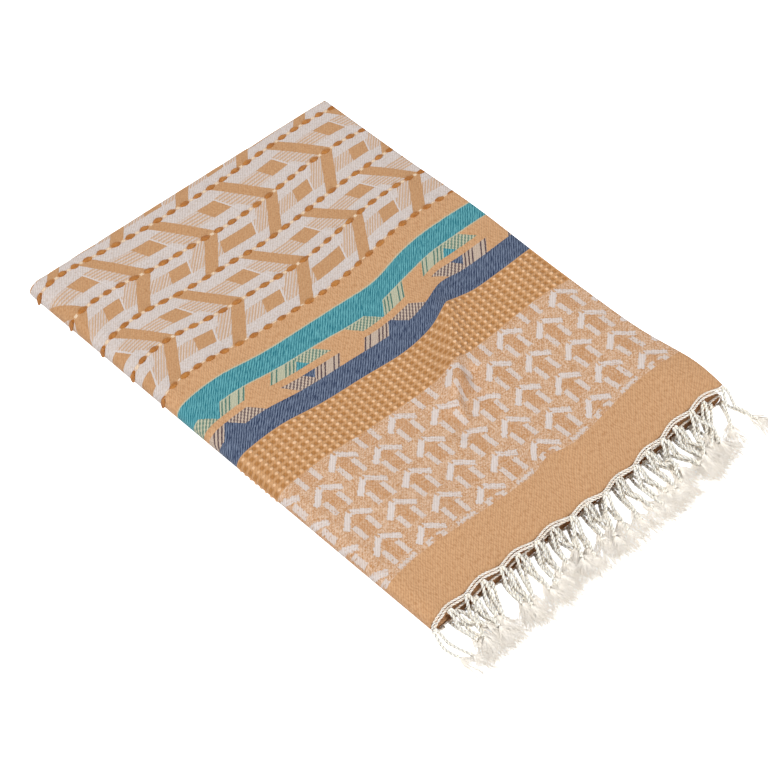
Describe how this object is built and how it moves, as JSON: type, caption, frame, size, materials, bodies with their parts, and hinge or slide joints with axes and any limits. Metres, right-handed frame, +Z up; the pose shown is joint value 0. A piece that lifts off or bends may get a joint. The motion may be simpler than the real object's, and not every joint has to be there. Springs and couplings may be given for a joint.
{
  "type": "hammam towel",
  "caption": "Woven cotton hammam towel folded flat into a stack of layers, in patterned bands, with knotted and tasselled fringe at its front edge",
  "frame": {"origin": "middle of the bottom of the box around the folded towel and its fringe, on the surface it rests on", "axes": "+Z up, +Y along the folded length from the fringed hem to the back fold, +X across it from the left fold to the selvedges"},
  "size_m": [0.3028, 0.4754, 0.0209],
  "materials": {
    "woven_cotton": "jacquard woven cotton in caramel and off-white, with turquoise and denim blue bands",
    "fringe_yarn": "twisted natural white cotton yarn"
  },
  "bodies": {
    "root": {"cloth": "woven_cotton", "fringe_upper": "fringe_yarn", "fringe_under": "fringe_yarn"}
  },
  "joints": []
}
